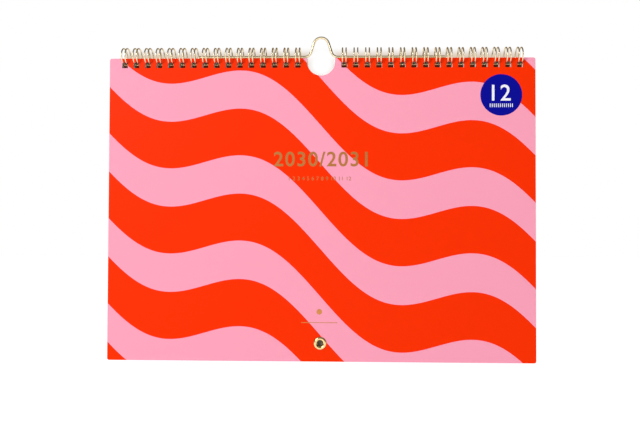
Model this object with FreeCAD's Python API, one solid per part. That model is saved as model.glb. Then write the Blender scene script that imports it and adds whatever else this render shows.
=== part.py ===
import FreeCAD, Part
import math
import os

# A landscape wall calendar for eighteen months, bound along its top edge by two twin-loop wire
# combs, with a wire hanger inside them. Millimetres. The front faces -Y, +X is to the right, +Z is
# up. The origin is the nail seat: the inside of the hanger's hump at its highest point.

# Sheets
sheet_width = 310.0
sheet_height = 220.0
sheet_corner_radius = 1.5
cover_thickness = 0.45
leaf_count = 18
leaf_thickness = 0.113
board_thickness = 0.8
cover_gap = 0.1

# Wire combs, three loops to the inch
loop_pitch = 25.4 / 3
comb_wire = 0.9
ring_inside = 10.9
strand_spacing = 2.6
root_bend_radius = 0.8
stub_length = 1.0
ring_rise = 1.85
side_margin = 6.0

# Hanger
hanger_wire = 1.8
hanger_length = 180.0
hump_height = 14.2
hump_top_radius = 5.6
hump_lean = 18.0
hump_foot_radius = 5.0

# Thumb notch in the sheets' top edge, a little smaller in the leaves
page_notch_step = 0.6

# Eyelet in the front cover: a barrel between a wide domed flange and a narrow rolled rim
eyelet_bore = 4.2
eyelet_wall = 0.3
eyelet_flange_width = 2.35
eyelet_rim_width = 0.9
eyelet_crown = 0.9
eyelet_back_crown = 0.55
eyelet_height = 13.2

# Round sticker on the front cover
sticker_diameter = 30.0
sticker_thickness = 0.1
sticker_from_right = 24.6
sticker_from_top = 27.1

# Clearances
seam_clearance = 0.125
tip_clearance = 0.12
hole_play = 0.3
hole_top_play = 0.2
arm_clearance = 0.35
hump_clearance = 0.2
notch_side_clearance = 0.72
comb_end_clearance = 2.0
eyelet_clearance = 0.05

# How far a cutter runs past an open edge
cut_overshoot = 1.0

# Places worked out from the sizes above
block_thickness = leaf_count * leaf_thickness
seam_gap = comb_wire + 2 * seam_clearance
stack_depth = cover_thickness + cover_gap + block_thickness + seam_gap + board_thickness

cover_front = -stack_depth / 2
cover_back = cover_front + cover_thickness
block_front = cover_back + cover_gap
block_back = block_front + block_thickness
board_front = block_back + seam_gap
board_back = board_front + board_thickness
seam_y = (block_back + board_front) / 2

ring_radius = (ring_inside + comb_wire) / 2
hanger_radius = hanger_wire / 2
arm_z = hanger_radius - hump_height
sheet_top = arm_z - hanger_radius - arm_clearance
sheet_bottom = sheet_top - sheet_height
ring_z = sheet_top + ring_rise

hole_size = strand_spacing + comb_wire + 2 * hole_play
hole_top = ring_z - math.sqrt((ring_inside / 2) ** 2 - (stack_depth / 2) ** 2) + hole_top_play

# Plan of one side of the hump, from its top arc down a leaning leg to the foot bend
lean = math.radians(hump_lean)
hump_arc_z = arm_z + hump_height - hump_top_radius
leg_top_x = hump_top_radius * math.cos(lean)
leg_top_z = hump_arc_z + hump_top_radius * math.sin(lean)
leg_foot_x = leg_top_x + (leg_top_z - arm_z) * math.tan(lean)
foot_tangent = hump_foot_radius * math.tan((math.pi / 2 - lean) / 2)
foot_end_x = leg_foot_x + foot_tangent

# The covers swing over the hump with its legs inside their notch, and the notch reaches past its
# highest point as that goes round
notch_radius = leg_foot_x + hanger_radius / math.cos(lean) + notch_side_clearance
hump_reach = arm_z + hump_height + hanger_radius + hump_clearance - ring_z
notch_inner_face = min(abs(cover_back), abs(board_front))
notch_bottom = ring_z - math.sqrt(hump_reach ** 2 - notch_inner_face ** 2)
notch_centre = notch_bottom + notch_radius

# Loops stand at whole pitches from the middle, clear of the hump and of the sheets' sides
loop_half_width = (strand_spacing + comb_wire) / 2
first_loop = math.ceil((foot_end_x + comb_end_clearance + loop_half_width) / loop_pitch)
last_loop = math.floor((sheet_width / 2 - side_margin) / loop_pitch)
loop_places = [number * loop_pitch for number in range(first_loop, last_loop + 1)]

eyelet_z = sheet_bottom + eyelet_height
eyelet_barrel_radius = eyelet_bore / 2 + eyelet_wall
eyelet_flange_radius = eyelet_barrel_radius + eyelet_flange_width
eyelet_rim_radius = eyelet_barrel_radius + eyelet_rim_width
eyelet_hole = 2 * (eyelet_barrel_radius + eyelet_clearance)
page_nail_hole = 2 * (eyelet_rim_radius + hole_play)
sticker_x = sheet_width / 2 - sticker_from_right
sticker_z = sheet_top - sticker_from_top


def point(x, y, z):
    return FreeCAD.Vector(x, y, z)


def line(start, end):
    return Part.LineSegment(start, end).toShape()


def arc(start, middle, end):
    return Part.Arc(start, middle, end).toShape()


def export(shape, name):
    shape.exportStep("parts/" + name + ".step")
    print(name, "solids", len(shape.Solids), "volume", round(shape.Volume, 3), "valid", shape.isValid())


def round_wire(path_edges, diameter):
    """A wire of round section that follows the path from its first end."""
    path = Part.Wire(path_edges)
    first = path_edges[0]
    start = first.valueAt(first.FirstParameter)
    direction = first.tangentAt(first.FirstParameter)
    section = Part.Wire(Part.Circle(start, direction, diameter / 2).toShape())
    return path.makePipeShell([section], True, False)


def punched_sheet(front, back, notch_step):
    """A sheet with rounded corners, square holes for the loops and the thumb notch."""
    depth = back - front
    sheet = Part.makeBox(sheet_width, depth, sheet_height, point(-sheet_width / 2, front, sheet_bottom))
    upright = [edge for edge in sheet.Edges if abs(edge.tangentAt(edge.FirstParameter).y) > 0.9]
    sheet = sheet.makeFillet(sheet_corner_radius, upright)

    cutters = []
    for side in (-1, 1):
        for place in loop_places:
            corner = point(side * place - hole_size / 2, front, hole_top - hole_size)
            cutters.append(Part.makeBox(hole_size, depth, hole_size, corner))

    radius = notch_radius - notch_step
    cutters.append(Part.makeCylinder(radius, depth, point(0, front, notch_centre), point(0, 1, 0)))
    mouth_height = max(sheet_top - notch_centre, 0) + cut_overshoot
    cutters.append(Part.makeBox(2 * radius, depth, mouth_height, point(-radius, front, notch_centre)))
    return sheet.cut(Part.makeCompound(cutters))


def nail_hole(front, back, diameter):
    """The cutter for the round hole in line with the eyelet."""
    return Part.makeCylinder(diameter / 2, back - front, point(0, front, eyelet_z), point(0, 1, 0))


def comb_edges(places):
    """The path of one comb: hairpin fingers bent into rings and joined by short root links."""
    half_strand = strand_spacing / 2
    root_angle = (
        math.asin(seam_y / math.hypot(ring_radius, root_bend_radius))
        + math.atan(root_bend_radius / ring_radius)
    )
    root_y = ring_radius * math.sin(root_angle)
    bend_span = half_strand + root_bend_radius
    tip_back = math.sqrt((bend_span + comb_wire + tip_clearance) ** 2 - bend_span ** 2)
    tip_angle = math.asin((root_y - tip_back) / ring_radius)

    def on_ring(x, angle):
        return point(x, ring_radius * math.sin(angle), ring_z - ring_radius * math.cos(angle))

    def along_ring(angle, distance):
        return point(0, distance * math.cos(angle), distance * math.sin(angle))

    def strand(x):
        return on_ring(x, root_angle), on_ring(x, math.pi), on_ring(x, tip_angle)

    def root_bend(x, outward):
        centre = on_ring(x + outward * root_bend_radius, root_angle)
        diagonal = root_bend_radius * math.sqrt(0.5)
        link_end = centre - along_ring(root_angle, root_bend_radius)
        middle = centre - along_ring(root_angle, diagonal) - point(outward * diagonal, 0, 0)
        return link_end, middle, on_ring(x, root_angle)

    edges = []
    link_start = root_bend(places[0] - half_strand, -1)[0] - point(stub_length, 0, 0)
    for place in places:
        left = place - half_strand
        right = place + half_strand
        link_end, bend_middle, bend_end = root_bend(left, -1)
        edges.append(line(link_start, link_end))
        edges.append(arc(link_end, bend_middle, bend_end))

        root, top, tip = strand(left)
        edges.append(arc(root, top, tip))
        tip_middle = on_ring(place, tip_angle) + along_ring(tip_angle, half_strand)
        edges.append(arc(tip, tip_middle, on_ring(right, tip_angle)))

        root, top, tip = strand(right)
        edges.append(arc(tip, top, root))
        link_start, bend_middle, bend_end = root_bend(right, 1)
        edges.append(arc(bend_end, bend_middle, link_start))
    edges.append(line(link_start, link_start + point(stub_length, 0, 0)))
    return edges


def hanger_edges():
    """The hanger's path: a long arm, foot bend, leaning leg and top arc, then the same mirrored."""
    arm_end = point(hanger_length / 2, 0, arm_z)
    foot_end = point(foot_end_x, 0, arm_z)
    foot_centre = point(foot_end_x, 0, arm_z + hump_foot_radius)
    foot_turn = math.pi / 2 - lean
    foot_middle = foot_centre - point(
        hump_foot_radius * math.sin(foot_turn / 2), 0, hump_foot_radius * math.cos(foot_turn / 2)
    )
    leg_foot = foot_centre - point(
        hump_foot_radius * math.sin(foot_turn), 0, hump_foot_radius * math.cos(foot_turn)
    )
    leg_top = point(leg_top_x, 0, leg_top_z)
    hump_top = point(0, 0, arm_z + hump_height)

    def mirrored(place):
        return point(-place.x, place.y, place.z)

    return [
        line(mirrored(arm_end), mirrored(foot_end)),
        arc(mirrored(foot_end), mirrored(foot_middle), mirrored(leg_foot)),
        line(mirrored(leg_foot), mirrored(leg_top)),
        arc(mirrored(leg_top), hump_top, leg_top),
        line(leg_top, leg_foot),
        arc(leg_foot, foot_middle, foot_end),
        line(foot_end, arm_end),
    ]


def rolled_eyelet():
    """A sheet-metal eyelet: a domed flange in front, a straight barrel and a rolled rim behind."""
    bore = eyelet_bore / 2
    barrel = eyelet_barrel_radius
    front_seat = cover_front - eyelet_clearance
    back_seat = cover_back + eyelet_clearance
    flange_rim = eyelet_flange_radius
    back_rim = eyelet_rim_radius
    flange_crest = (barrel + flange_rim) / 2
    back_crest = (barrel + back_rim) / 2
    front_top = front_seat - eyelet_crown
    back_top = back_seat + eyelet_back_crown

    def at(radius, y):
        return point(radius, y, eyelet_z)

    outline = Part.Wire([
        line(at(bore, front_seat), at(bore, back_seat)),
        arc(at(bore, back_seat), at((bore + back_rim) / 2, back_top), at(back_rim, back_seat)),
        line(at(back_rim, back_seat), at(back_rim - eyelet_wall, back_seat)),
        arc(
            at(back_rim - eyelet_wall, back_seat),
            at(back_crest - eyelet_wall / 2, back_top - eyelet_wall),
            at(barrel, back_seat),
        ),
        line(at(barrel, back_seat), at(barrel, front_seat)),
        arc(
            at(barrel, front_seat),
            at(flange_crest - eyelet_wall / 2, front_top + eyelet_wall),
            at(flange_rim - eyelet_wall, front_seat),
        ),
        line(at(flange_rim - eyelet_wall, front_seat), at(flange_rim, front_seat)),
        arc(at(flange_rim, front_seat), at((bore + flange_rim) / 2, front_top), at(bore, front_seat)),
    ])
    return Part.Face(outline).revolve(point(0, 0, eyelet_z), point(0, 1, 0), 360)


def front_sticker():
    """A thin round sticker that lies on the front cover's face."""
    centre = point(sticker_x, cover_front - sticker_thickness, sticker_z)
    return Part.makeCylinder(sticker_diameter / 2, sticker_thickness, centre, point(0, 1, 0))


left_places = [-place for place in reversed(loop_places)]

# The sheets that turn up over the top hang on the nail by a hole; the board stays down and has none
cover = punched_sheet(cover_front, cover_back, 0).cut(nail_hole(cover_front, cover_back, eyelet_hole))
leaves = punched_sheet(block_front, block_back, page_notch_step).cut(
    nail_hole(block_front, block_back, page_nail_hole)
)
board = punched_sheet(board_front, board_back, 0)

os.makedirs("parts", exist_ok=True)
export(cover, "front_cover")
export(leaves, "page_block")
export(board, "back_cover")
export(round_wire(comb_edges(left_places), comb_wire), "wire_comb_left")
export(round_wire(comb_edges(loop_places), comb_wire), "wire_comb_right")
export(round_wire(hanger_edges(), hanger_wire), "hanger")
export(rolled_eyelet(), "eyelet")
export(front_sticker(), "sticker")

print("ring centre z", round(ring_z, 3), "sheet top z", round(sheet_top, 3), "stack", round(stack_depth, 3))
print("loops a side", len(loop_places), "from", round(loop_places[0], 3), "to", round(loop_places[-1], 3))
print("hole", round(hole_size, 3), "top at", round(sheet_top - hole_top, 3), "below the edge")
print("notch radius", round(notch_radius, 3), "depth", round(sheet_top - notch_bottom, 3))
print("eyelet z", round(eyelet_z, 3), "flange", round(2 * eyelet_flange_radius, 3))
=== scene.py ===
# %% [markdown]
# # A wire-bound wall calendar
#
# This lesson dresses a wall calendar: a punched card cover, eighteen leaves, a grey back board, two
# twin-loop wire combs, a wire hanger, an eyelet and a round sticker. The shapes of the rigid pieces
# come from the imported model, which is loaded as a fixed frame. What is made here is the finish of
# every surface, the separate leaves and the print.
#
# Everything is in metres. The front of the calendar faces -Y, +X is to the right and +Z is up.

# %% Load the frame
import math
import random

import bmesh
import bpy
from mathutils import Matrix, Vector


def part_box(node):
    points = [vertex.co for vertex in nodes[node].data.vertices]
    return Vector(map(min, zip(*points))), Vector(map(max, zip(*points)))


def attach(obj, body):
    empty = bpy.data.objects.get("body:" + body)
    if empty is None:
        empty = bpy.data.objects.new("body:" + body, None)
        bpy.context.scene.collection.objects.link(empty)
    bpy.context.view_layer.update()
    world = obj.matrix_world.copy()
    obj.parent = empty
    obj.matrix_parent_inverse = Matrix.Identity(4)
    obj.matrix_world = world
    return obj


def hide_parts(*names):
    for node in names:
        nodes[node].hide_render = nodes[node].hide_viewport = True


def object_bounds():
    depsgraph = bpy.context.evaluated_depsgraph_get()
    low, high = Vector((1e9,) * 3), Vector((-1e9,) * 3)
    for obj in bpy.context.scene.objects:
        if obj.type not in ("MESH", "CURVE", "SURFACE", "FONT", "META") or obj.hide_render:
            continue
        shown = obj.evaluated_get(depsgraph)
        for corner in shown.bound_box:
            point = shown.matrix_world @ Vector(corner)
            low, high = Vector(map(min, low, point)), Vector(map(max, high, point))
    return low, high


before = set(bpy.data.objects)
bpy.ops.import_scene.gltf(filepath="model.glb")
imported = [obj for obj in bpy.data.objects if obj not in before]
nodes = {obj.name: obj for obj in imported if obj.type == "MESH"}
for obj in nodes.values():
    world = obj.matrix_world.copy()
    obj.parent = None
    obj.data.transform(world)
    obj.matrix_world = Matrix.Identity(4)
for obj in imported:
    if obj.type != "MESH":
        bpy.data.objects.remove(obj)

cad_low, cad_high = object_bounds()
MM = 0.001
print("pieces in the frame:", ", ".join(sorted(nodes)))
print("box of the frame in mm:", [round(v / MM, 2) for v in cad_high - cad_low])

# %% [markdown]
# ## Small tools for building finishes
#
# A procedural material is a graph of nodes. Typing every node and link by hand hides the idea of
# the finish, so two small classes do the typing. A graph adds nodes, joins them and does
# arithmetic, and serves the world's light too. A finish is the graph of one material, with the
# patterns that all of them share: noise, a mix of two colours and a fine bump. Colours are read
# from swatches as screen values and the shader wants linear ones, so that step is written once.

# %% Colours
def linear(red, green, blue):
    """A screen colour of 0 to 255 a channel, as the linear colour that a shader works in."""
    channels = []
    for value in (red, green, blue):
        part = value / 255
        channels.append(part / 12.92 if part <= 0.04045 else ((part + 0.055) / 1.055) ** 2.4)
    return (*channels, 1.0)


print("screen red in linear:", [round(v, 3) for v in linear(255, 54, 0)])


# %% Node graphs
class Graph:
    """A tree of nodes that is being built; a term is a number, a colour or a node's output."""

    def __init__(self, tree):
        self.tree = tree

    def add(self, kind, **settings):
        """A new node with these settings."""
        made = self.tree.nodes.new(kind)
        for name, value in settings.items():
            setattr(made, name, value)
        return made

    def join(self, source, target):
        """A link from a node's output to another's input."""
        self.tree.links.new(source, target)

    def feed(self, terms, sockets):
        """Each term is joined to its socket, or written on it where it is a plain value."""
        for term, socket in zip(terms, sockets):
            if hasattr(term, "default_value"):
                self.join(term, socket)
            else:
                socket.default_value = term

    def calc(self, operation, *terms):
        """One step of arithmetic."""
        made = self.add("ShaderNodeMath", operation=operation)
        self.feed(terms, made.inputs)
        return made.outputs[0]

    def parts(self, vector):
        """The x, y and z of a vector."""
        split = self.add("ShaderNodeSeparateXYZ")
        self.join(vector, split.inputs[0])
        return split.outputs[0], split.outputs[1], split.outputs[2]

    def spread(self, value, low, high, start=0.0, end=1.0, smooth=False):
        """A value that runs from start to end, carried to the range from low to high."""
        kind = "SMOOTHSTEP" if smooth else "LINEAR"
        made = self.add("ShaderNodeMapRange", interpolation_type=kind)
        names = ("Value", "From Min", "From Max", "To Min", "To Max")
        self.feed((value, start, end, low, high), [made.inputs[name] for name in names])
        return made.outputs[0]

    def choose(self, share, first, second):
        """The first value where share is 0 and the second where it is 1."""
        made = self.add("ShaderNodeMix")
        self.feed((share, first, second), (made.inputs[0], made.inputs[2], made.inputs[3]))
        return made.outputs[0]

    def seen_by(self, *kinds):
        """1 for a ray of any of these kinds, and 0 for the rest."""
        ray = self.add("ShaderNodeLightPath")
        found = ray.outputs[kinds[0]]
        for kind in kinds[1:]:
            found = self.calc("MAXIMUM", found, ray.outputs[kind])
        return found


print("node graphs can be built")


# %% Finishes
class Finish(Graph):
    """A material being built, with its main shader."""

    def __init__(self, name, **values):
        self.material = bpy.data.materials.new(name)
        self.material.use_nodes = True
        super().__init__(self.material.node_tree)
        self.shader = self.tree.nodes["Principled BSDF"]
        for socket, value in values.items():
            self.shader.inputs[socket.replace("_", " ")].default_value = value

    def here(self):
        """Where a point is on the piece, in metres."""
        return self.add("ShaderNodeTexCoord").outputs["Object"]

    def facing(self):
        """Which way the surface faces, as x, y and z."""
        return self.parts(self.add("ShaderNodeTexCoord").outputs["Normal"])

    def noise(self, vector, size, detail=3.0, stretch=(1, 1, 1)):
        """Cloudy variation from 0 to 1 whose patches are about this many metres across."""
        mapping = self.add("ShaderNodeMapping")
        mapping.inputs["Scale"].default_value = [part / size for part in stretch]
        texture = self.add("ShaderNodeTexNoise")
        texture.inputs["Scale"].default_value = 1.0
        texture.inputs["Detail"].default_value = detail
        self.join(vector, mapping.inputs["Vector"])
        self.join(mapping.outputs[0], texture.inputs["Vector"])
        return texture.outputs["Fac"]

    def blend(self, share, first, second, kind="MIX"):
        """Two colours mixed by a share from 0 to 1."""
        made = self.add("ShaderNodeMix", data_type="RGBA", blend_type=kind)
        self.feed((share, first, second), (made.inputs[0], made.inputs[6], made.inputs[7]))
        return made.outputs[2]

    def bump(self, height, depth):
        """Fine relief on the surface; depth is in metres."""
        made = self.add("ShaderNodeBump")
        made.inputs["Strength"].default_value = 1.0
        made.inputs["Distance"].default_value = depth
        self.join(height, made.inputs["Height"])
        self.join(made.outputs[0], self.shader.inputs["Normal"])

    def drive(self, source, name):
        """A node's output sets one value of the shader."""
        self.join(source, self.shader.inputs[name])


def dress(piece, finish):
    """The piece shows this finish all over."""
    piece.data.materials.clear()
    piece.data.materials.append(finish.material)


print("finishes can be built")

# %% [markdown]
# ## The camera
#
# The calendar was seen nearly square on from a little under half a metre away, so the loops at both
# ends show their ovals and those near the middle stay narrow. The view point stood a little to the
# right of the middle. A camera that is turned to centre the calendar would make the sheet's edges
# converge more than they do, so the lens is shifted instead, as a view camera does. The camera
# itself turns by the one degree or so that the edges show.

# %% Camera
VIEW_POINT = (28.1 * MM, -452.1 * MM, -127.5 * MM)
VIEW_YAW = 1.38
VIEW_PITCH = 1.09
VIEW_ROLL = 0.16
SENSOR_WIDTH = 36.0
FOCAL_LENGTH = 34.96
LENS_SHIFT = (-0.038, -0.0188)
NEAREST_SEEN = 0.01
FURTHEST_SEEN = 20

camera_data = bpy.data.cameras.new("view")
camera_data.sensor_width = SENSOR_WIDTH
camera_data.lens = FOCAL_LENGTH
camera_data.shift_x, camera_data.shift_y = LENS_SHIFT
camera_data.clip_start = NEAREST_SEEN
camera_data.clip_end = FURTHEST_SEEN
camera = bpy.data.objects.new("view", camera_data)
bpy.context.scene.collection.objects.link(camera)
camera.matrix_world = (
    Matrix.Translation(VIEW_POINT)
    @ Matrix.Rotation(math.radians(VIEW_YAW), 4, "Z")
    @ Matrix.Rotation(math.radians(90 + VIEW_PITCH), 4, "X")
    @ Matrix.Rotation(math.radians(VIEW_ROLL), 4, "Z")
)
bpy.context.scene.camera = camera
print("the camera stands", round(-VIEW_POINT[1] / MM), "mm in front of the loops")

# %% [markdown]
# ## The white surround
#
# The background is pure white and the light is soft. A white background must not come from more
# light on the object, so the world is white only for rays that the camera or a clear material sends
# out, and lights the object at a lower level. Polished wire looks flat in an all-white room, so a
# mirror ray sees a surround like a studio's: white behind and below, dim in front and darker still
# at the sides. Each edge below is a pair: the part of the direction at which the dim share starts
# and the part at which it is full.

# %% World
AMBIENT = 0.53
STUDIO_FRONT = 0.2
STUDIO_SIDES = 0.09
BACKDROP_EDGE = (0.95, 0.5)
FLOOR_EDGE = (-0.05, 0.35)
SIDE_EDGE = (0.3, 0.8)
SIDE_FLOOR_EDGE = (-0.2, 0.25)

scene = bpy.context.scene
scene.view_settings.view_transform = "Standard"
world = bpy.data.worlds.new("white_surround")
scene.world = world
world.use_nodes = True
surround = Graph(world.node_tree)
right, back, up = surround.parts(surround.add("ShaderNodeTexCoord").outputs["Generated"])
sideways = surround.calc("ABSOLUTE", right)
front_share = surround.calc(
    "MULTIPLY",
    surround.spread(back, 0, 1, *BACKDROP_EDGE, smooth=True),
    surround.spread(up, 0, 1, *FLOOR_EDGE, smooth=True),
)
side_share = surround.calc(
    "MULTIPLY",
    surround.spread(sideways, 0, 1, *SIDE_EDGE, smooth=True),
    surround.spread(up, 0, 1, *SIDE_FLOOR_EDGE, smooth=True),
)
mirrored = surround.calc(
    "MULTIPLY",
    surround.spread(front_share, 1, STUDIO_FRONT, smooth=True),
    surround.spread(side_share, 1, STUDIO_SIDES, smooth=True),
)
level = surround.choose(surround.seen_by("Is Glossy Ray"), AMBIENT, mirrored)
level = surround.choose(surround.seen_by("Is Camera Ray", "Is Transmission Ray"), level, 1.0)
background = world.node_tree.nodes["Background"]
background.inputs["Color"].default_value = (1, 1, 1, 1)
surround.join(level, background.inputs["Strength"])
print("the surround lights the calendar at", AMBIENT, "of white")

# %% [markdown]
# ## The key lamp
#
# One broad square lamp stands at the front left, somewhat above the calendar. It lays the loops'
# shadows to the right. A sun or a small lamp would do that too, but with hard edges, and the size of
# this one keeps them soft. Its own glint is turned well down, so that the wire and the print don't
# show a hard white spot.

# %% Key lamp
LAMP_PLACE = Vector((-1.2, -1.55, 0.65))
LAMP_SIZE = 0.75
LAMP_POWER = 25.5
LAMP_GLINT = 0.07

cover_low, cover_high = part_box("front_cover")
lamp_data = bpy.data.lights.new("key_lamp", "AREA")
lamp_data.shape = "SQUARE"
lamp_data.size = LAMP_SIZE
lamp_data.energy = LAMP_POWER
lamp_data.specular_factor = LAMP_GLINT
lamp = bpy.data.objects.new("key_lamp", lamp_data)
scene.collection.objects.link(lamp)
to_cover = (cover_low + cover_high) / 2 - LAMP_PLACE
lamp.location = LAMP_PLACE
lamp.rotation_mode = "QUATERNION"
lamp.rotation_quaternion = to_cover.to_track_quat("-Z", "Y")
print("the key lamp stands", round(to_cover.length, 2), "m from the middle of the cover")

# %% [markdown]
# ## The floor
#
# The calendar hangs, so the floor is a pale plane well below it. For the rays that see the white
# background the floor also glows a little, so that its far edge melts into the white.

# %% Floor
FLOOR_BELOW = 0.35
FLOOR_HALF = 6.0
FLOOR_GREY = 0.85
FLOOR_GLOW = 0.6
CORNERS = ((-1, -1), (1, -1), (1, 1), (-1, 1))

floor_z = cad_low.z - FLOOR_BELOW
floor_mesh = bpy.data.meshes.new("floor")
floor_points = [(x * FLOOR_HALF, y * FLOOR_HALF, floor_z) for x, y in CORNERS]
floor_mesh.from_pydata(floor_points, [], [(0, 1, 2, 3)])
floor = bpy.data.objects.new("floor", floor_mesh)
scene.collection.objects.link(floor)
pale_floor = Finish(
    "pale_floor",
    Roughness=0.8,
    Base_Color=(FLOOR_GREY, FLOOR_GREY, FLOOR_GREY, 1),
    Emission_Color=(1, 1, 1, 1),
)
shown = pale_floor.seen_by("Is Camera Ray", "Is Glossy Ray", "Is Transmission Ray")
pale_floor.drive(pale_floor.calc("MULTIPLY", shown, FLOOR_GLOW), "Emission Strength")
dress(floor, pale_floor)
print("floor at", round(floor_z / MM), "mm")

# %% [markdown]
# ## Sheets of shade
#
# For its picture the calendar lay against a white surface. A solid wall would hide the back in
# other views, so thin sheets carry only the shade that the surface would show, and they face the
# front alone. Shade belongs only where something stands close. An ambient occlusion node measures
# how open the view from each point is, so a sheet clears where the pieces have swung away from it.

# %% Sheets of shade
def shade(finish, share, colour, reach, openness):
    """The colour glows as painted shade, by this share where pieces within reach stand near, and from
    the front.
    """
    view = finish.add("ShaderNodeAmbientOcclusion")
    view.inputs["Distance"].default_value = reach
    closed_in = finish.spread(view.outputs["AO"], 1, 0, *openness, smooth=True)
    behind = finish.add("ShaderNodeNewGeometry").outputs["Backfacing"]
    seen = finish.calc("MULTIPLY", closed_in, finish.calc("SUBTRACT", 1, behind))
    # Painted shade: the sheet glows with the colour instead of taking real shade.
    glow = finish.add("ShaderNodeEmission")
    glow.inputs["Color"].default_value = colour
    mixed = finish.add("ShaderNodeMixShader")
    finish.join(finish.calc("MULTIPLY", seen, share), mixed.inputs[0])
    finish.join(finish.add("ShaderNodeBsdfTransparent").outputs[0], mixed.inputs[1])
    finish.join(glow.outputs[0], mixed.inputs[2])
    finish.join(mixed.outputs[0], finish.tree.nodes["Material Output"].inputs["Surface"])


def upright_sheet(name, left, right, y, low, high, finish):
    """A flat sheet that faces -Y and that only the camera sees."""
    corners = [(left, y, low), (right, y, low), (right, y, high), (left, y, high)]
    mesh = bpy.data.meshes.new(name)
    mesh.from_pydata(corners, [], [(0, 1, 2, 3)])
    made = bpy.data.objects.new(name, mesh)
    scene.collection.objects.link(made)
    made.visible_diffuse = False
    made.visible_glossy = False
    made.visible_transmission = False
    made.visible_shadow = False
    dress(made, finish)
    print(name, "is", round((right - left) / MM), "mm wide")


# %% [markdown]
# ## Painted shade behind the loops
#
# Light that bounces off gold wire and red card tints a white surface behind them, and the loops shade
# it.
# Here a sheet glows with that warm beige as painted shade. It lies just above the sheets, fades out
# over a centimetre, stops short of the thumb notch and comes back faintly round the notch's rim.

# %% Painted warm shade
ROW_START = 14.5 * MM
ROW_END = 146.5 * MM
NOTCH_RADIUS = 10.35 * MM
NOTCH_CENTRE_BELOW_EDGE = 2.43 * MM
PAINTED_SHADE_GAP = 0.5 * MM
PAINTED_SHADE_FULL = 2 * MM
PAINTED_SHADE_NONE = 10.5 * MM
PAINTED_SHADE_OVER_EDGE = 0.62
PAINTED_SHADE_IN_NOTCH = 0.26
RIM_START = 0.5 * NOTCH_RADIUS
RIM_END = 1.06 * NOTCH_RADIUS
SIDE_START = 0.9 * NOTCH_RADIUS
SIDE_FULL = 1.4 * NOTCH_RADIUS
PAINTED_SHADE_DEPTH = 1.5 * NOTCH_RADIUS
sheet_top = cover_high.z

painted_shade = Finish("painted_warm_shade")
x, _, z = painted_shade.parts(painted_shade.here())
drop = painted_shade.calc("SUBTRACT", z, sheet_top - NOTCH_CENTRE_BELOW_EDGE)
squares = painted_shade.calc("ADD", painted_shade.calc("MULTIPLY", x, x), painted_shade.calc("MULTIPLY", drop, drop))
from_centre = painted_shade.calc("SQRT", squares)
near_rim = painted_shade.spread(from_centre, 0, PAINTED_SHADE_IN_NOTCH, RIM_START, NOTCH_RADIUS, smooth=True)
in_notch = painted_shade.calc("MULTIPLY", near_rim, painted_shade.calc("LESS_THAN", from_centre, RIM_END))
below_edge = painted_shade.spread(z, 1, 0, sheet_top - PAINTED_SHADE_FULL, sheet_top + 2 * PAINTED_SHADE_FULL, smooth=True)
in_notch = painted_shade.calc("MULTIPLY", in_notch, below_edge)
past_notch = painted_shade.spread(from_centre, 0, PAINTED_SHADE_OVER_EDGE, SIDE_START, SIDE_FULL, smooth=True)
rise = painted_shade.spread(z, 0, 1, sheet_top - MM, sheet_top + MM, smooth=True)
fade = painted_shade.spread(z, 1, 0, sheet_top + PAINTED_SHADE_FULL, sheet_top + PAINTED_SHADE_NONE, smooth=True)
over_edge = painted_shade.calc("MULTIPLY", painted_shade.calc("MULTIPLY", past_notch, rise), fade)
painted_shade_share = painted_shade.calc("MAXIMUM", in_notch, over_edge)
# Painted shade: the sheet glows beige where loops and sheets stand close, in place of their shade and
# bounce light.
shade(painted_shade, painted_shade_share, linear(192, 154, 102), reach=15 * MM, openness=(0.93, 0.995))
painted_shade_y = cad_high.y + PAINTED_SHADE_GAP
painted_shade_low = sheet_top - PAINTED_SHADE_DEPTH
upright_sheet("painted_warm_shade", -ROW_END, ROW_END, painted_shade_y, painted_shade_low, sheet_top + PAINTED_SHADE_NONE, painted_shade)

# %% [markdown]
# ## Painted shade in the holes
#
# No light reaches the bottom of a deep hole of this size, so a dark brown strip of painted shade lies
# right behind each row. The walls inside are painted brown too, as shade tinted by light bounced off
# the red card.
# Card, paper and board all have such holes, so one function paints that shade on their walls: it finds
# the row by its height and the walls by the way that they face.

# %% Holes
HOLE_SIZE = 4.1 * MM
HOLE_TOP_BELOW_EDGE = 2.906 * MM
STRIP_GAP = 0.05 * MM
STRIP_EXTRA = 0.2 * MM
FACING_SIDEWAYS = 0.5
hole_top = sheet_top - HOLE_TOP_BELOW_EDGE
hole_bottom = hole_top - HOLE_SIZE

hole_shade = Finish("hole_shade")
# Painted shade: a dark brown glow behind each row of holes, where only shade would be.
shade(hole_shade, 1, linear(70, 30, 16), reach=6 * MM, openness=(0.8, 0.96))
strip_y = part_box("back_cover")[1].y + STRIP_GAP
strip_low = hole_bottom - STRIP_EXTRA
strip_high = hole_top + STRIP_EXTRA
upright_sheet("hole_shade_left", -ROW_END, -ROW_START, strip_y, strip_low, strip_high, hole_shade)
upright_sheet("hole_shade_right", ROW_START, ROW_END, strip_y, strip_low, strip_high, hole_shade)


def paint_hole_wall_shade(finish, colour):
    """The colour, but with painted shade in brown on the walls of the punched holes."""
    x, _, z = finish.parts(finish.here())
    _, facing_y, _ = finish.facing()
    row = finish.calc("COMPARE", z, (hole_top + hole_bottom) / 2, HOLE_SIZE / 2 + STRIP_EXTRA)
    within = finish.calc("LESS_THAN", finish.calc("ABSOLUTE", x), ROW_END)
    wall = finish.calc("LESS_THAN", finish.calc("ABSOLUTE", facing_y), FACING_SIDEWAYS)
    share = finish.calc("MULTIPLY", finish.calc("MULTIPLY", row, within), wall)
    # Painted shade: this brown stands in for the shade inside the holes.
    return finish.blend(share, colour, linear(112, 62, 38))


print("holes from", round(hole_bottom / MM, 2), "to", round(hole_top / MM, 2), "mm")

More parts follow.
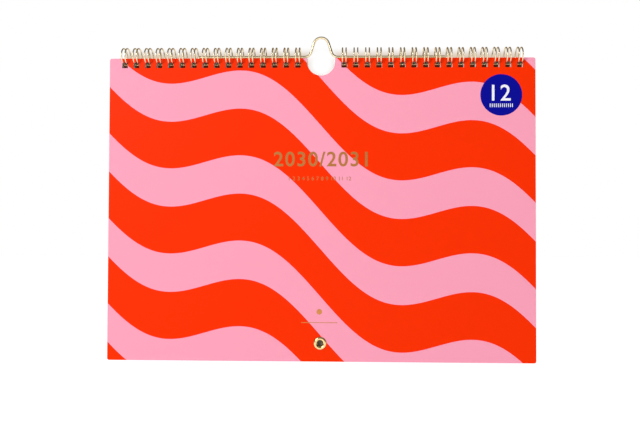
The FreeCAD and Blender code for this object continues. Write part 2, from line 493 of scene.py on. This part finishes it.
# %% [markdown]
# ## The printed card of the front cover
#
# The real cover is a card printed edge to edge in two flat inks, with a thin matt film over them.
# The print could be an image, but a formula keeps its edges sharp at any distance. Broad waves are
# made by adding a sine of x to z, and a sine of that sum switches between the inks. The cut edges
# and the inside of the cover are bare card, so the ink is laid only where the surface faces front.

# %% Cover print
BAND_PAIR = 62 * MM
WAVE_LENGTH = 168 * MM
WAVE_HEIGHT = 19 * MM
SLOPE = 0.42
RED_SHARE_LEVEL = -0.16
INK_EDGE = 0.008
FACING_FRONT = -0.5
INK_SPECKLE = 0.9 * MM
DARKEST_SPECKLE = 0.975
FILM_CLOUD = 4 * MM
FILM_ROUGHNESS = (0.4, 0.5)
FILM_GRAIN = 0.35 * MM
FILM_RELIEF = 0.006 * MM

cover_print = Finish("cover_print", Specular_IOR_Level=0.04)
here = cover_print.here()
x, _, z = cover_print.parts(here)
swell = cover_print.calc("SINE", cover_print.calc("MULTIPLY", x, 2 * math.pi / WAVE_LENGTH))
climb = cover_print.calc("MULTIPLY_ADD", x, SLOPE, z)
height = cover_print.calc("MULTIPLY_ADD", swell, WAVE_HEIGHT, climb)
bands = cover_print.calc("SINE", cover_print.calc("MULTIPLY", height, 2 * math.pi / BAND_PAIR))
red_start = RED_SHARE_LEVEL - INK_EDGE
red_full = RED_SHARE_LEVEL + INK_EDGE
red_share = cover_print.spread(bands, 0, 1, red_start, red_full, smooth=True)
ink = cover_print.blend(red_share, linear(254, 164, 188), linear(254, 50, 0))
speckle = cover_print.spread(cover_print.noise(here, INK_SPECKLE), DARKEST_SPECKLE, 1.0)
ink = cover_print.blend(1.0, ink, speckle, kind="MULTIPLY")
_, facing_y, _ = cover_print.facing()
is_front = cover_print.calc("LESS_THAN", facing_y, FACING_FRONT)
# Bare card, with painted shade on the walls of the punched holes.
card = paint_hole_wall_shade(cover_print, linear(247, 244, 238))
cover_print.drive(cover_print.blend(is_front, card, ink), "Base Color")
film = cover_print.noise(here, FILM_CLOUD)
cover_print.drive(cover_print.spread(film, *FILM_ROUGHNESS), "Roughness")
cover_print.bump(cover_print.noise(here, FILM_GRAIN, detail=5), FILM_RELIEF)
dress(nodes["front_cover"], cover_print)
print("bands", round(BAND_PAIR / MM / 2), "mm wide")

# %% [markdown]
# ## Paper and board
#
# The leaves are smooth white paper and the back is grey board pressed from mixed fibres. Both are
# nearly one colour, and what tells them apart is the grain: fine and even on paper, and flecked
# with long dark and pale fibres on board. Each is noise at the size of its fibres, which also
# drives a very shallow bump.

# %% Paper finish
PAPER_GRAIN = 0.5 * MM
PAPER_RELIEF = 0.008 * MM

paper = Finish("white_paper", Roughness=0.62, Specular_IOR_Level=0.2)
grain = paper.noise(paper.here(), PAPER_GRAIN, detail=4)
tone = paper.blend(grain, linear(243, 240, 232), linear(252, 250, 245))
# White paper, with painted shade on the walls of the punched holes.
paper.drive(paint_hole_wall_shade(paper, tone), "Base Color")
paper.bump(grain, PAPER_RELIEF)
print("paper grain is", PAPER_GRAIN / MM, "mm across")

# %% Board finish
FIBRE_THICKNESS = 1.3 * MM
FIBRE_STRETCH = (0.25, 1, 1)
BOARD_CLOUD = 22 * MM
CLOUD_SHARE = (0.0, 0.35)
BOARD_RELIEF = 0.02 * MM

board = Finish("grey_board", Roughness=0.78)
here = board.here()
fibre = board.noise(here, FIBRE_THICKNESS, detail=6, stretch=FIBRE_STRETCH)
cloud = board.noise(here, BOARD_CLOUD, detail=2)
tone = board.blend(fibre, linear(150, 139, 124), linear(194, 184, 168))
tone = board.blend(board.spread(cloud, *CLOUD_SHARE), tone, linear(166, 154, 138))
# Grey board, with painted shade on the walls of the punched holes.
board.drive(paint_hole_wall_shade(board, tone), "Base Color")
board.bump(fibre, BOARD_RELIEF)
dress(nodes["back_cover"], board)
print("fibres are", round(FIBRE_THICKNESS / FIBRE_STRETCH[0] / MM, 1), "mm long")

# %% [markdown]
# ## Eighteen leaves
#
# The frame holds the leaves as one block. Real leaves are separate, and their edges never line up
# quite exactly. Each leaf here is a copy of the block's outline, holes and notch squeezed to the
# thickness of paper, set one behind another and nudged by up to a tenth of a millimetre from a
# seeded random number. Copying the outline keeps every hole where the wire needs it.

# %% Leaves
LEAVES = 18
LEAF_FILL = 0.9
NUDGE_X = 0.1 * MM
NUDGE_Z = 0.04 * MM
SAME_POINT = 0.001 * MM
shuffle = random.Random(7)
block = nodes["page_block"]
block_low, block_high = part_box("page_block")
block_depth = block_high.y - block_low.y
leaf_pitch = block_depth / LEAVES
outline = [v.co.copy() for v in block.data.vertices]
faces = [tuple(polygon.vertices) for polygon in block.data.polygons]
narrower = 1 - (NUDGE_X + NUDGE_Z) / block_high.x

leaf_points = []
leaf_faces = []
for leaf in range(LEAVES):
    front = block_low.y + leaf * leaf_pitch
    nudge_x = shuffle.uniform(-NUDGE_X, NUDGE_X)
    nudge_z = shuffle.uniform(0, NUDGE_Z)
    first = len(leaf_points)
    for corner in outline:
        share = (corner.y - block_low.y) / block_depth
        leaf_points.append(
            (corner.x * narrower + nudge_x, front + share * leaf_pitch * LEAF_FILL, corner.z + nudge_z)
        )
    leaf_faces += [tuple(first + number for number in face) for face in faces]

leaves_mesh = bpy.data.meshes.new("leaves")
leaves_mesh.from_pydata(leaf_points, [], leaf_faces)
joined = bmesh.new()
joined.from_mesh(leaves_mesh)
bmesh.ops.remove_doubles(joined, verts=joined.verts, dist=SAME_POINT)
bmesh.ops.recalc_face_normals(joined, faces=joined.faces)
joined.to_mesh(leaves_mesh)
joined.free()
leaves = bpy.data.objects.new("leaves", leaves_mesh)
scene.collection.objects.link(leaves)
dress(leaves, paper)
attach(leaves, "block")
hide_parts("page_block")
print("leaves:", LEAVES, "with", len(leaves_mesh.polygons), "faces")

# %% [markdown]
# ## Gold wire
#
# The combs and the hanger are steel wire with a pale gold coat. Metal has no colour of its own
# beside its reflections, so the finish is a metallic shader with a warm tint, a darker tint at
# grazing angles, and faint patches where the coat is uneven. The same patches vary the roughness,
# which stops the highlights from looking like chrome. Eyelet and foil are plated too and differ
# only in their tints and roughness, so one function makes all three.

# %% Wire finish
PATCH_SIZE = 0.5 * MM
PATCH_EDGES = (0.3, 0.7)
PATCH_DARKER = 0.86
SMOOTHER = -0.05
ROUGHER = 0.07
GRAIN_SIZE = 0.4 * MM
GRAIN_RELIEF = 0.001 * MM


def gold(name, tint, edge_tint, roughness):
    """A plated metal of this tint, darker at grazing angles, with faint patches."""
    finish = Finish(name, Metallic=1.0, Specular_Tint=edge_tint)
    here = finish.here()
    patch = finish.noise(here, PATCH_SIZE, detail=3)
    darker = [part * PATCH_DARKER for part in tint[:3]] + [1]
    colour = finish.blend(finish.spread(patch, 0, 1, *PATCH_EDGES), tint, darker)
    finish.drive(colour, "Base Color")
    finish.drive(finish.spread(patch, roughness + SMOOTHER, roughness + ROUGHER), "Roughness")
    finish.bump(finish.noise(here, GRAIN_SIZE, detail=2), GRAIN_RELIEF)
    return finish


gold_wire = gold("gold_wire", linear(245, 227, 188), linear(150, 116, 66), 0.28)
for name in ("wire_comb_left", "wire_comb_right", "hanger"):
    dress(nodes[name], gold_wire)
    print(name, "shows gold wire")

# %% [markdown]
# ## The eyelet
#
# The eyelet is a thin pressed tube of plated brass, brighter and smoother than the wire. Its shape
# comes whole from the frame, so it needs only its finish: the wire's recipe with a stronger yellow
# and less roughness.

# %% Eyelet finish
eyelet_gold = gold("eyelet_gold", linear(234, 203, 142), linear(130, 88, 40), 0.17)
dress(nodes["eyelet"], eyelet_gold)
eyelet_low, eyelet_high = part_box("eyelet")
print("the eyelet is", round((eyelet_high.x - eyelet_low.x) / MM, 1), "mm across")

# %% [markdown]
# ## Numbers as thin print
#
# Foil and label print are shapes of real, very small thickness. Numbers are typed with the built-in
# typeface, turned into a mesh, scaled to the height wanted and stood up in the plane of the cover.
# A mesh is used, and not a picture, so that the edges stay crisp and the print turns with the sheet.

# %% Numbers, bars and discs
TYPE_CURVE_STEPS = 6
TYPE_DEPTH = 0.01
DISC_SIDES = 48


def typed(words, height, spacing=1.0, bolder=0.0):
    """A closed mesh of some numbers, centred on the origin, in the plane of x and z."""
    text = bpy.data.curves.new("typed", "FONT")
    text.body = words
    text.space_character = spacing
    text.align_x = "CENTER"
    text.offset = bolder
    text.resolution_u = TYPE_CURVE_STEPS
    text.extrude = TYPE_DEPTH
    holder = bpy.data.objects.new("typed", text)
    mesh = bpy.data.meshes.new_from_object(holder)
    bpy.data.objects.remove(holder)
    bpy.data.curves.remove(text)
    low = Vector([min(v.co[k] for v in mesh.vertices) for k in range(3)])
    high = Vector([max(v.co[k] for v in mesh.vertices) for k in range(3)])
    middle = (low + high) / 2
    scale = height / (high.y - low.y)
    for vertex in mesh.vertices:
        flat = (vertex.co - middle) * scale
        vertex.co = (flat.x, 0.5 if vertex.co.z < middle.z else -0.5, flat.y)
    return mesh


def bar(width, height):
    """A closed flat bar centred on the origin, in the plane of x and z."""
    shape = bmesh.new()
    bmesh.ops.create_cube(shape, size=1.0, matrix=Matrix.Diagonal((width, 1, height, 1)))
    mesh = bpy.data.meshes.new("bar")
    shape.to_mesh(mesh)
    shape.free()
    return mesh


def disc(diameter):
    """A closed flat disc centred on the origin, in the plane of x and z."""
    shape = bmesh.new()
    bmesh.ops.create_cone(
        shape,
        segments=DISC_SIDES,
        radius1=diameter / 2,
        radius2=diameter / 2,
        depth=1,
        cap_ends=True,
        matrix=Matrix.Rotation(math.pi / 2, 4, "X"),
    )
    mesh = bpy.data.meshes.new("disc")
    shape.to_mesh(mesh)
    shape.free()
    return mesh


print("a disc has", DISC_SIDES, "sides")

# %% [markdown]
# ## Laying print on a face
#
# Each mark so far is a metre deep. The next helper puts marks in their places, flattens them to the
# thickness of the ink or the foil, and joins them to one piece that rides on its sheet. They could
# stay separate objects, but one piece of print is easier to place, to finish and to turn.

# %% Laying print
SAME_MARK_POINT = 0.0005 * MM


def print_on(name, marks, face_y, thickness, finish, body):
    """One piece of print from (mesh, x, z) marks, laid on a face that looks towards -Y."""
    whole = bmesh.new()
    for mesh, x, z in marks:
        start = len(whole.verts)
        whole.from_mesh(mesh)
        whole.verts.ensure_lookup_table()
        for vertex in whole.verts[start:]:
            depth = face_y - thickness / 2 + vertex.co.y * thickness
            vertex.co = (vertex.co.x + x, depth, vertex.co.z + z)
        bpy.data.meshes.remove(mesh)
    bmesh.ops.remove_doubles(whole, verts=whole.verts, dist=SAME_MARK_POINT)
    bmesh.ops.recalc_face_normals(whole, faces=whole.faces)
    data = bpy.data.meshes.new(name)
    whole.to_mesh(data)
    whole.free()
    piece = bpy.data.objects.new(name, data)
    scene.collection.objects.link(piece)
    dress(piece, finish)
    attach(piece, body)
    width = round(piece.dimensions.x / MM, 1)
    print(name, "has", len(data.polygons), "faces and is", width, "mm wide")


print("print lies on the cover at y =", round(cover_low.y / MM, 2), "mm")

# %% [markdown]
# ## Foil on the cover
#
# Hot foil is a metal film pressed into the card, so it is a smooth metal with almost no thickness.
# The cover carries one large line of numbers, a small line of month numbers under it, and a small
# mark above the eyelet.

# %% Foil
FOIL_THICKNESS = 0.03 * MM
YEARS = "2030/2031"
YEARS_HEIGHT = 10.8 * MM
YEARS_SPACING = 1.13
YEARS_BOLDER = 0.014
YEARS_Z = -88.2 * MM
MONTHS = "1 2 3 4 5 6 7 8 9 10 11 12"
MONTHS_HEIGHT = 2.8 * MM
MONTHS_SPACING = 1.1
MONTHS_BOLDER = 0.006
MONTHS_X = -0.4 * MM
MONTHS_Z = -102.3 * MM
MARK_X = -0.6 * MM
DOT_SIZE = 4 * MM
DOT_Z = -198.7 * MM
LINE_LENGTH = 26 * MM
LINE_HEIGHT = 0.5 * MM
LINE_Z = -206.5 * MM

foil = gold("foil", linear(208, 138, 76), linear(150, 90, 40), 0.28)
marks = [
    (typed(YEARS, YEARS_HEIGHT, YEARS_SPACING, YEARS_BOLDER), 0, YEARS_Z),
    (typed(MONTHS, MONTHS_HEIGHT, MONTHS_SPACING, MONTHS_BOLDER), MONTHS_X, MONTHS_Z),
    (disc(DOT_SIZE), MARK_X, DOT_Z),
    (bar(LINE_LENGTH, LINE_HEIGHT), MARK_X, LINE_Z),
]
print_on("cover_foil", marks, cover_low.y, FOIL_THICKNESS, foil, "front_cover")

# %% [markdown]
# ## The round sticker
#
# The sticker is a disc of satin paper printed in deep blue, with white numbers and a row of twelve
# ticks under them. The white could be part of the blue finish, by a formula as on the cover, but
# numbers have no simple formula, so they are laid on as thin print.

# %% Label finishes
LABEL_SPECKLE = 0.7 * MM
LABEL_ROUGHNESS = (0.34, 0.42)
INK_GRAIN = 0.4 * MM

blue_label = Finish("blue_label", Specular_IOR_Level=0.06)
speckle = blue_label.noise(blue_label.here(), LABEL_SPECKLE)
blue_label.drive(blue_label.blend(speckle, linear(4, 7, 140), linear(7, 11, 156)), "Base Color")
blue_label.drive(blue_label.spread(speckle, *LABEL_ROUGHNESS), "Roughness")
dress(nodes["sticker"], blue_label)


def flat_ink(name, darker, paler, roughness):
    """An ink that varies a little between two near colours."""
    finish = Finish(name, Roughness=roughness)
    grain = finish.noise(finish.here(), INK_GRAIN)
    finish.drive(finish.blend(grain, darker, paler), "Base Color")
    return finish


white_ink = flat_ink("white_ink", linear(238, 238, 246), linear(252, 252, 255), 0.45)
label_low, label_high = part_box("sticker")
print("the sticker is", round((label_high.x - label_low.x) / MM, 1), "mm across")

# %% Sticker print
LABEL_INK = 0.02 * MM
NUMBER_HEIGHT = 11.6 * MM
NUMBER_SPACING = 1.08
NUMBER_BOLDER = 0.006
NUMBER_UP = 1.6 * MM
TICKS = 12
TICK_PITCH = 1.45 * MM
TICK_WIDTH = 0.55 * MM
TICK_HEIGHT = 2.6 * MM
TICKS_DOWN = 7.6 * MM

label_x = (label_low.x + label_high.x) / 2
label_z = (label_low.z + label_high.z) / 2
number = typed("12", NUMBER_HEIGHT, NUMBER_SPACING, NUMBER_BOLDER)
marks = [(number, label_x, label_z + NUMBER_UP)]
for tick in range(TICKS):
    tick_x = label_x + (tick - (TICKS - 1) / 2) * TICK_PITCH
    marks.append((bar(TICK_WIDTH, TICK_HEIGHT), tick_x, label_z - TICKS_DOWN))
print_on("sticker_print", marks, label_low.y, LABEL_INK, white_ink, "front_cover")

# %% [markdown]
# ## The first month
#
# When the cover is turned over the loops, the first leaf shows. It carries a plain ruled month:
# seven columns, five rows and the numbers of the days, in a red like the cover's. Two loops lay the
# rules and one lays the numbers, so a change to the number of rows or columns moves them all.

# %% Month print
PAGE_INK = 0.02 * MM
COLUMNS = 7
ROWS = 5
DAYS = 31
GRID_LEFT = -143 * MM
GRID_TOP = -48 * MM
GRID_WIDTH = 286 * MM
GRID_HEIGHT = 160 * MM
RULE = 0.35 * MM
DAY_HEIGHT = 3.4 * MM
DAY_ACROSS = 0.12
DAY_DOWN = 0.15
MONTH_HEIGHT = 11 * MM
MONTH_X = GRID_LEFT + 4 * MM
MONTH_Z = GRID_TOP + 10 * MM
column_width = GRID_WIDTH / COLUMNS
row_height = GRID_HEIGHT / ROWS
grid_middle_x = GRID_LEFT + GRID_WIDTH / 2
grid_middle_z = GRID_TOP - GRID_HEIGHT / 2

red_ink = flat_ink("red_ink", linear(226, 62, 24), linear(240, 78, 40), 0.6)
marks = []
for column in range(COLUMNS + 1):
    marks.append((bar(RULE, GRID_HEIGHT), GRID_LEFT + column * column_width, grid_middle_z))
for row in range(ROWS + 1):
    marks.append((bar(GRID_WIDTH + RULE, RULE), grid_middle_x, GRID_TOP - row * row_height))
for day in range(DAYS):
    row, column = divmod(day, COLUMNS)
    day_x = GRID_LEFT + (column + DAY_ACROSS) * column_width
    day_z = GRID_TOP - (row + DAY_DOWN) * row_height
    marks.append((typed(str(day + 1), DAY_HEIGHT), day_x, day_z))
marks.append((typed("1", MONTH_HEIGHT), MONTH_X, MONTH_Z))
print_on("month_print", marks, block_low.y, PAGE_INK, red_ink, "block")
